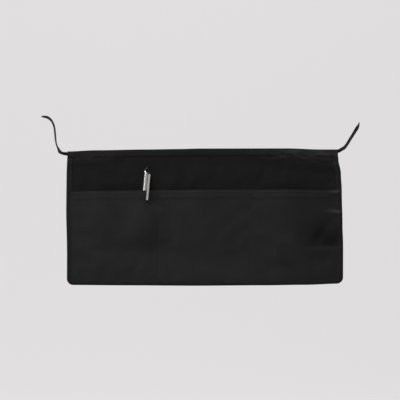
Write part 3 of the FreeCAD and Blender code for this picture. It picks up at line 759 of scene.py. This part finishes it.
def make_pocket():
    """One cloth over all three compartments, with a hem turned over along its mouth."""
    rings = []
    for x in columns_across(1.6):
        heights = spread(MOUTH - HEM_TURN, MOUTH - 2 * HEM, 17)[:-1]
        heights += spread(MOUTH - 2 * HEM, foot_at(x), 54)
        thick = CLOTH + 1.2 * hem_share(x)
        ring = [place(x, pocket_depth(x, z), z) for z in heights]
        for z in reversed(heights):
            layer = CLOTH if z < MOUTH - HEM else thick
            ring.append(place(x, pocket_depth(x, z) - layer, z))
        rings.append(ring + hem_fold(x, thick))
    cloth = ring_object("pocket_cloth", rings)
    finish_piece(cloth, POCKET_CLOTH, "pocket_cloth", "pocket_panel")
    ride_skirt(cloth)


def band_place(x, depth, z):
    """A point of the waistband, which hangs with the cloth and has ripples of its own."""
    ripple = 0.2 * wander(x, 0, 34, 11.0) + 0.35 * wander(x, 0, 120, 4.0)
    return place(x, depth + ripple, z)


def band_profile(roll, pull):
    """Section of the folded band as depth and z: up its back, over its top, down its front."""
    back = [(0.05, BAND_FOOT), (0.0, -3.5), (-0.05, 2.0), (0.05, BAND_TOP - 2.2)]
    top = [(0.3, 0.8), (0.7, 0.2), (1.1, 0.0), (1.45, 0.25), (1.75, 1.0)]
    top.append((1.95 + 0.4 * roll, 2.4))
    front = [
        (2.15 + 0.8 * roll, BAND_TOP - 4.4),
        (2.3 + roll, 0.0),
        (2.35 + roll, -2.6),
        (2.2 + 0.6 * roll, -4.2),
        (2.15 + 0.6 * roll, -BAND_ROW),
        (2.2 + 0.6 * roll + pull, -5.2),
        (2.1 + 0.5 * roll + pull, BAND_FOOT + 0.3),
        (1.75, BAND_FOOT),
    ]
    return back + [(depth, BAND_TOP - drop) for depth, drop in top] + front


def make_waistband():
    """Folded tape: a soft full roll on top, easing back to its sewn lower edge."""
    rings = []
    for x in spread(-HALF + 0.3, HALF - 0.3, 361):
        roll = 0.3 + 0.25 * wander(x, 0, 22, 2.0)
        pull = 0.1 * math.sin(x * 1.05 + 3 * wander(x, 0, 40, 8.0))
        rings.append([band_place(x, depth, z) for depth, z in band_profile(roll, pull)])
    band = ring_object("waistband_tape", rings, 70)
    finish_piece(band, TAPE, "tape", "waistband")
    ride_band(band)


def binding_path():
    """Stations round the outline, left top to right top: place, inward direction, run."""
    top = BAND_FOOT - 0.4
    straight, low = HALF - CORNER, FOOT + CORNER
    path = [((-HALF, z), (1, 0)) for z in spread(top, low, 130)]
    for centre, first in ((-straight, math.pi), (straight, 1.5 * math.pi)):
        for turn in spread(first, first + math.pi / 2, 14)[1:-1]:
            out = (math.cos(turn), math.sin(turn))
            at = (centre + CORNER * out[0], low + CORNER * out[1])
            path.append((at, (-out[0], -out[1])))
        if centre < 0:
            path += [((x, FOOT), (0, 1)) for x in spread(-straight, straight, 270)]
    path += [((HALF, z), (-1, 0)) for z in spread(low, top, 130)]
    run, stations = 0.0, []
    for index, (at, inward) in enumerate(path):
        if index:
            run += math.dist(at, path[index - 1][0])
        stations.append((at, inward, run))
    return stations


def binding_face(inset):
    """Depth of the binding's face: full at its fold, pressed in along its sewn row."""
    crown = 0.25 * math.sin(math.pi * min(1.0, inset / BINDING_ROW))
    return 2.7 + crown - 0.25 * bell(inset - BINDING_ROW, 1.0)


def make_binding():
    """Tape folded over the edge, gathered a little by its stitches and round the corners."""
    face = [(inset, binding_face(inset)) for inset in (9.0, BINDING_ROW, 7.2, 4.5, 2.0)]
    edge = [(0.7, 2.5), (0.1, 2.0), (0.0, 1.4), (0.1, 0.9), (0.8, 0.35)]
    back = [(2.5, 0.15), (6.0, 0.12), (9.8, 0.15), (10.0, 0.6)]
    profile = [(10.0, 2.15), (9.9, 2.6)] + face + edge + back
    rings = []
    for at, inward, run in binding_path():
        gather = 0.22 * math.sin(run * 0.85 + 2.5 * wander(run, 0, 45, 6.0))
        swell = 0.25 * wander(run, 0, 28, 13.0)
        ring = []
        for inset, depth in profile:
            loose = gather * bell(inset - 9.2, 1.6) + swell * bell(inset - 4.5, 2.5)
            x, z = at[0] + inward[0] * inset, at[1] + inward[1] * inset
            ring.append(place(x, depth + (loose if depth > 1.5 else 0.0), z))
        rings.append(ring)
    binding = ring_object("edge_binding_tape", rings, 70)
    finish_piece(binding, TAPE, "tape", "edge_binding")
    bend_at_waist(binding)


# ---------------------------------------------------------------- stitches

# A stitch's length and pitch, its thread's half width and half height, how high its middle
# stands over the cloth and how sharply it dips towards its ends.
STITCH = 2.6
PITCH = 3.4
THREAD_WIDE, THREAD_HIGH = 0.27, 0.2
STANDS, DIPS = 0.06, 0.64
FRONT, BACK = Vector((0, -1, 0)), Vector((0, 1, 0))

# Places along a stitch as shares of its length, with how full its thread is there.
THREAD_SECTIONS = [(-0.5, 0.35), (-0.36, 0.85), (0.0, 1.0), (0.36, 0.85), (0.5, 0.35)]


def one_stitch(start, end, outward, length):
    """Rings of one stitch: round thread that dips into the cloth at both ends."""
    along = (end - start).normalized()
    side = along.cross(outward).normalized()
    up = side.cross(along)
    rings = []
    for share, girth in THREAD_SECTIONS:
        height = STANDS - DIPS * share * share
        centre = (start + end) / 2 + (along * (share * length) + up * height) * MM
        ring = []
        for corner in range(6):
            turn = corner * math.pi / 3
            reach = side * (THREAD_WIDE * math.cos(turn)) + up * (THREAD_HIGH * math.sin(turn))
            ring.append(centre + reach * (girth * MM))
        rings.append(ring)
    return rings


def sew(name, node, stitches, attach, material, length=STITCH):
    """Every stitch of a seam in one piece, from (start, end, outward) places on the cloth."""
    vertices, faces = [], []
    for start, end, outward in stitches:
        rings = one_stitch(start, end, outward, length)
        faces += skin(rings, len(vertices))
        vertices += [vertex for ring in rings for vertex in ring]
    row = mesh_object(name, vertices, faces, 80)
    finish_piece(row, material, "thread", node)
    attach(row)


def row_of(at, path_length, outward):
    """Stitches at an even pitch along a row, where at(run) is a place on the cloth."""
    stitches, run = [], PITCH / 2
    while run + STITCH < path_length:
        stitches.append((at(run), at(run + STITCH), outward))
        run += PITCH
    return stitches


def sew_waistband():
    """The row that closes the waistband, seen on both sides."""
    width = 2 * HALF - 8

    def row(depth):
        return lambda run: band_place(-HALF + 4 + run, depth, -BAND_ROW)

    stitches = row_of(row(2.3), width, FRONT) + row_of(row(0.0), width, BACK)
    sew("waistband_stitches", "waistband_stitching", stitches, ride_band, THREAD)


def sew_hem():
    """The two rows along the pocket's hem."""
    stitches = []
    reach = SIDE - 1
    for drop in HEM_ROWS:
        z = MOUTH - drop

        def row(run, z=z):
            x = run - reach
            return place(x, pocket_depth(x, z) + GAP, z)

        stitches += row_of(row, 2 * reach, FRONT)
    sew("pocket_hem_stitches", "pocket_hem_stitching", stitches, ride_skirt, THREAD)


def sew_dividers():
    """The two upright rows that part the pocket, seen on both sides."""
    stitches = []
    top = MOUTH - 0.8
    fall = MOUTH - FOOT - BINDING_WIDTH - 2
    for x in (-DIVIDER, DIVIDER):

        def row(run, x=x):
            return place(x, pocket_depth(x, top - run) + GAP, top - run)

        def back_row(run, x=x):
            return place(x, PANEL_FRONT - CLOTH, top - run)

        stitches += row_of(row, fall, FRONT) + row_of(back_row, fall, BACK)
    sew("divider_stitches", "divider_stitching", stitches, ride_skirt, MATT_THREAD)


def sew_binding():
    """The row that holds the binding all the way round, seen on both sides."""
    stations = binding_path()

    def row(depth):
        track = []
        for at, inward, _ in stations:
            spot = (at[0] + inward[0] * BINDING_ROW, at[1] + inward[1] * BINDING_ROW)
            run = track[-1][2] + math.dist(spot, track[-1][:2]) if track else 0.0
            track.append((*spot, run))

        def along(run):
            index = 1
            while index < len(track) - 1 and track[index][2] < run:
                index += 1
            before, after = track[index - 1], track[index]
            share = (run - before[2]) / (after[2] - before[2])
            x, z = (before[axis] + (after[axis] - before[axis]) * share for axis in (0, 1))
            return place(x, depth, z)

        return along, track[-1][2]

    stitches = []
    for depth, outward in ((binding_face(BINDING_ROW) + GAP, FRONT), (0.12, BACK)):
        along, total = row(depth)
        stitches += row_of(along, total - 2, outward)
    sew("binding_stitches", "binding_stitching", stitches, bend_at_waist, THREAD)


# ---------------------------------------------------------------- ties

# Half the tape's width, the frames along a tie, and those over which it comes out of the band.
TAPE_HALF = 6.5
TIE_STEPS = 90
ROOT_STEPS = 28

# Centre line of each tie from inside the waistband to its cut end, as x, depth and z, and how
# broad the twisting tape looks from the front.
LEFT_TIE = [
    (-273, 1.0, -6.6, 13.0),
    (-281, 1.1, -5.1, 13.0),
    (-289, 3.2, -3.6, 6.8),
    (-293.4, 5.0, -1.0, 6.2),
    (-296, 6.2, 4.0, 4.4),
    (-298.4, 6.6, 8.6, 2.9),
    (-300.8, 6.6, 15.0, 2.4),
    (-302.2, 6.6, 24.0, 3.2),
    (-303.1, 6.6, 34.0, 3.4),
    (-304.4, 6.6, 46.0, 3.4),
    (-306.6, 6.6, 54.6, 3.5),
    (-310.8, 6.6, 62.3, 3.8),
    (-316.0, 6.6, 67.2, 4.4),
    (-322.0, 6.6, 69.6, 3.8),
    (-331.0, 6.6, 70.5, 2.2),
]
RIGHT_TIE = [
    (261, 1.0, -1.2, 13.0),
    (269.5, 1.0, 0.0, 13.0),
    (275.5, 2.4, 2.9, 6.4),
    (281.0, 5.2, 6.2, 6.2),
    (285.0, 6.4, 9.8, 5.8),
    (288.4, 6.6, 14.6, 5.6),
    (293.0, 6.6, 22.0, 5.6),
    (298.0, 6.6, 30.0, 5.7),
    (303.1, 6.6, 38.2, 5.9),
    (308.0, 6.6, 46.3, 6.4),
    (311.0, 6.6, 51.6, 5.6),
    (313.2, 6.6, 58.4, 2.6),
]

# Section of the folded tape, open on one side: across in half widths, out in millimetres.
FOLDED = [(-1, 0.7), (-0.5, 0.74), (0.4, 0.74), (0.85, 0.7), (0.97, 0.42), (1.0, 0.0)]
FOLDED += [(0.97, -0.42), (0.85, -0.7), (0.4, -0.74), (-0.5, -0.74), (-1, -0.7)]
FOLDED += [(-0.98, -0.16), (0.7, -0.14), (0.78, 0.0), (0.7, 0.14), (-0.98, 0.16)]


def tie_stations(line):
    """Even stations along a tie as x, depth, z and breadth, rooted inside the hanging band."""
    stations = []
    for step in range(TIE_STEPS):
        share = step / (TIE_STEPS - 1) * (len(line) - 1)
        index = min(int(share), len(line) - 2)
        near = [line[max(0, min(len(line) - 1, index + offset))] for offset in (-1, 0, 1, 2)]
        x, depth, z, breadth = (catmull(values, share - index) for values in zip(*near))
        unwarped = 2 * x - warp(x, z)[0]
        inside = max(-HALF + 2, min(HALF - 2, unwarped))
        root = -band_place(inside, 0, z).y / MM - 0.2
        stations.append((x, depth + root * (1 - smooth(step / ROOT_STEPS)), z, breadth))
    return stations


def tie_frames(line, side):
    """Even frames along a tie: centre, direction across the tape and direction it faces."""
    stations = tie_stations(line)
    frames = []
    for index, (x, depth, z, breadth) in enumerate(stations):
        before, after = stations[max(index - 1, 0)], stations[min(index + 1, TIE_STEPS - 1)]
        along = Vector((after[0] - before[0], before[1] - after[1], after[2] - before[2]))
        along.normalize()
        level = min(1.0, breadth / (2 * TAPE_HALF))
        wide = along.cross(BACK).normalized() * (side * level)
        wide += FRONT * math.sqrt(1 - level * level)
        wide = (wide - along * wide.dot(along)).normalized()
        frames.append((Vector((x, -depth, z)), wide, along.cross(wide)))
    return frames


def make_tie(side, line, tip):
    """Folded tape that twists until it is nearly edge-on and narrows over its tip's share."""
    body = "tie_left" if side < 0 else "tie_right"
    frames = tie_frames(line, side)
    rings = []
    for index, (centre, wide, face) in enumerate(frames):
        left = (TIE_STEPS - 1 - index) / (TIE_STEPS - 1)
        gathered = 0.52 + 0.48 * smooth((index - ROOT_STEPS / 4) / (ROOT_STEPS / 2))
        half = TAPE_HALF * (0.35 + 0.65 * smooth(left / tip)) * gathered
        ring = [centre + wide * (across * half) + face * out for across, out in FOLDED]
        rings.append([point * MM for point in ring])
    tie = ring_object(f"{body}_tape", rings, 60)
    finish_piece(tie, TIE_TAPE, "tape", body)

    def bend_at_corner(thing):
        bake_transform(thing)

    bend_at_corner(tie)
    stitches = []
    for index in range(16, TIE_STEPS - 5, 3):
        ends = []
        for centre, wide, face in (frames[index], frames[index + 2]):
            outward = face if face.y < 0 else -face
            ends.append((centre - wide * 4.6 + outward * 0.76) * MM)
        stitches.append((*ends, outward))
    sew(f"{body}_stitches", f"{body}_stitching", stitches, bend_at_corner, MATT_THREAD, length=1.9)


# ---------------------------------------------------------------- pen

# The leaning pen's axis, a direction square to it, and how far its clip is turned aside.
JOINTS = frame["record"]["behaviour"]["joints"]
LEAN = Vector(next(joint["axis"] for joint in JOINTS if joint["name"] == "pen_lift"))
ASIDE = BACK.cross(LEAN)
CLIP_TURN = math.radians(35)

# The bead's slope round the barrel and its half width and half height,
# and the spring's turns and half its wire's thickness.
RING_SLOPE = 0.75
BEAD_WIDE, BEAD_HIGH = 0.45, 1.05
SPRING_TURNS = 8
SPRING_WIRE = 0.22

PEN_FINISHES = {
    "pen_barrel_upper": STEEL,
    "pen_barrel_lower": STEEL,
    "pen_nose_cone": STEEL,
    "pen_clip": CLIP_STEEL,
    "pen_top_cap": BLACK_GLOSS,
    "pen_button": BLACK_GLOSS,
    "pen_cam_guide": INNER_PLASTIC,
    "pen_rotor": INNER_PLASTIC,
    "pen_refill_tube": REFILL_PLASTIC,
    "pen_refill_tip": BRASS,
    "pen_ball": BALL_STEEL,
}


def out_from_pen(turns):
    """Direction away from the pen's axis after some turns round it."""
    angle = turns * 2 * math.pi
    return ASIDE * math.cos(angle) + BACK * math.sin(angle)


def oval_round(middle, across, half_across, up, half_up):
    """A ring of points round a place, given in millimetres."""
    ring = []
    for corner in range(12):
        angle = corner / 12 * 2 * math.pi
        reach = across * (half_across * math.cos(angle)) + up * (half_up * math.sin(angle))
        ring.append((middle + reach) * MM)
    return ring


def make_pen_ring():
    """The bright slanted bead round the barrel under the black cap."""
    left, right, front, back, bottom, top = node_box("pen_trim_ring")
    centre = Vector((left + right, front + back, bottom + top)) / 2
    toward_clip = ASIDE * math.sin(CLIP_TURN) + FRONT * math.cos(CLIP_TURN)
    radius = (back - front) / 2
    rings = []
    for step in range(96):
        out = out_from_pen(step / 96)
        middle = centre + out * radius - LEAN * (RING_SLOPE * radius * out.dot(toward_clip))
        rings.append(oval_round(middle, out, BEAD_WIDE, LEAN, BEAD_HIGH))
    bead = ring_object("pen_ring_bead", rings, 80, looped=True)
    finish_piece(bead, RING_STEEL, "pen_steel", "pen_trim_ring")
    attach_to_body(bead, "pen")


def make_pen_spring():
    """The return spring."""
    left, right, front, back, bottom, top = node_box("pen_spring")
    centre = Vector((left + right, front + back, bottom + top)) / 2
    outer = (back - front) / 2
    length = (top - bottom - 2 * outer * LEAN.x) / LEAN.z - 0.2
    radius = outer - SPRING_WIRE
    rings = []
    for turns in spread(0, SPRING_TURNS, SPRING_TURNS * 24):
        out = out_from_pen(turns)
        rise = (turns / SPRING_TURNS - 0.5) * (length - 2 * SPRING_WIRE)
        middle = centre + out * radius + LEAN * rise
        rings.append(oval_round(middle, out, SPRING_WIRE, LEAN, SPRING_WIRE))
    coil = ring_object("pen_spring_coil", rings, 80)
    finish_piece(coil, SPRING_STEEL, "spring_steel", "pen_spring")
    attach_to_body(coil, "pen")
    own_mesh(coil)


def finish_pen():
    """Give each pen part its material and shade its turned faces smoothly."""
    for node, material in PEN_FINISHES.items():
        thing = frame["nodes"][node]
        thing.data.materials.clear()
        thing.data.materials.append(material)
        thing.data.polygons.foreach_set("use_smooth", [True] * len(thing.data.polygons))
        thing.data.set_sharp_from_angle(angle=math.radians(35))
    for node in ("pen_clip", "pen_top_cap"):
        soften = frame["nodes"][node].modifiers.new("soft_edges", "BEVEL")
        soften.width = 0.2 * MM
        soften.segments = 2
        soften.limit_method = "ANGLE"
        soften.angle_limit = math.radians(40)


# ---------------------------------------------------------------- stage, light, camera

PALE = (0.737, 0.723, 0.730)

# How much wider the picture is than the apron, and how far right and up it is centred.
MARGIN = 1.2562
CENTRED = (-0.0012, 0.0016)


def backdrop_paper():
    """Matt pale paper, clear when seen from behind so that it never hides the apron."""
    finish = Finish("backdrop_paper")
    finish.set(Base_Color=(0.20, 0.197, 0.198, 1), Roughness=1.0, Specular_IOR_Level=0.0)
    finish.set(Emission_Color=(*PALE, 1), Emission_Strength=0.83)
    behind = finish.node("ShaderNodeNewGeometry", {}).outputs["Backfacing"]
    clear = finish.node("ShaderNodeBsdfTransparent", {}).outputs[0]
    inputs = {0: behind, 1: finish.shader.outputs[0], 2: clear}
    mixed = finish.node("ShaderNodeMixShader", inputs)
    output = finish.tree.nodes["Material Output"]
    finish.feed(output.inputs["Surface"], mixed.outputs[0])
    return finish.material


def make_backdrop(middle):
    """A plain pale floor that curves up into a wall behind the apron."""
    floor = (FOOT - 330) * MM
    wall, bend, side = 2.6, 1.2, 8.0
    profile = [(-7.0, floor)]
    for turn in spread(0, math.pi / 2, 17):
        profile.append((wall - bend + bend * math.sin(turn), floor + bend * (1 - math.cos(turn))))
    profile.append((wall, floor + 6.0))
    count = len(profile)
    vertices = [(x + middle, y, z) for x in (-side, side) for y, z in profile]
    faces = [(index, index + count, index + count + 1, index + 1) for index in range(count - 1)]
    mesh = bpy.data.meshes.new("backdrop")
    mesh.from_pydata(vertices, [], faces)
    mesh.polygons.foreach_set("use_smooth", [True] * len(mesh.polygons))
    mesh.materials.append(backdrop_paper())
    add_object("backdrop", mesh)


def make_world(strength):
    """Dim even light, seen by the camera as the same pale tone as the backdrop."""
    world = bpy.data.worlds.new("studio")
    world.use_nodes = True
    nodes, links = world.node_tree.nodes, world.node_tree.links
    nodes["Background"].inputs["Color"].default_value = (0.98, 0.985, 1.0, 1)
    nodes["Background"].inputs["Strength"].default_value = strength
    seen = nodes.new("ShaderNodeBackground")
    seen.inputs["Color"].default_value = (*PALE, 1)
    mixed = nodes.new("ShaderNodeMixShader")
    links.new(nodes.new("ShaderNodeLightPath").outputs["Is Camera Ray"], mixed.inputs[0])
    links.new(nodes["Background"].outputs[0], mixed.inputs[1])
    links.new(seen.outputs[0], mixed.inputs[2])
    links.new(mixed.outputs[0], nodes["World Output"].inputs["Surface"])
    bpy.context.scene.world = world


def softbox(name, at, target, size, power):
    """A rectangular lamp that faces the target."""
    lamp = bpy.data.lights.new(name, "AREA")
    lamp.shape = "RECTANGLE"
    lamp.size, lamp.size_y = size
    lamp.energy = power
    thing = add_object(name, lamp)
    thing.location = at
    thing.rotation_euler = (target - Vector(at)).to_track_quat("-Z", "Y").to_euler()


def make_lights(middle):
    """A soft key from above, a strip that edges the pen from the left, and a weak fill."""
    softbox("key_above", (middle.x - 0.5, -1.1, 2.1), middle, (1.2, 0.8), 62)
    softbox("left_strip", (middle.x - 1.7, -0.7, 0.5), middle, (0.5, 1.6), 9)
    softbox("right_fill", (middle.x + 2.2, -0.9, 0.2), middle, (1.0, 1.6), 2.0)


def make_camera(middle, width):
    """A long lens square to the apron's front."""
    camera = bpy.data.cameras.new("camera")
    camera.lens = 200
    camera.sensor_width = 36
    camera.clip_end = 50
    thing = add_object("camera", camera)
    distance = MARGIN * width * camera.lens / camera.sensor_width
    thing.location = middle + Vector((CENTRED[0], -distance, CENTRED[1]))
    thing.rotation_euler = (math.pi / 2, 0, 0)
    bpy.context.scene.camera = thing
    bpy.context.scene.view_settings.view_transform = "Standard"


make_main_panel()
make_pocket()
make_waistband()
make_binding()
sew_waistband()
sew_hem()
sew_dividers()
sew_binding()
make_tie(-1, LEFT_TIE, tip=0.05)
make_tie(1, RIGHT_TIE, tip=0.16)
make_pen_ring()
make_pen_spring()
finish_pen()

low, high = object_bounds()
middle = (Vector(low) + Vector(high)) / 2
make_backdrop(middle.x)
make_world(0.14)
make_lights(middle)
make_camera(middle, high[0] - low[0])
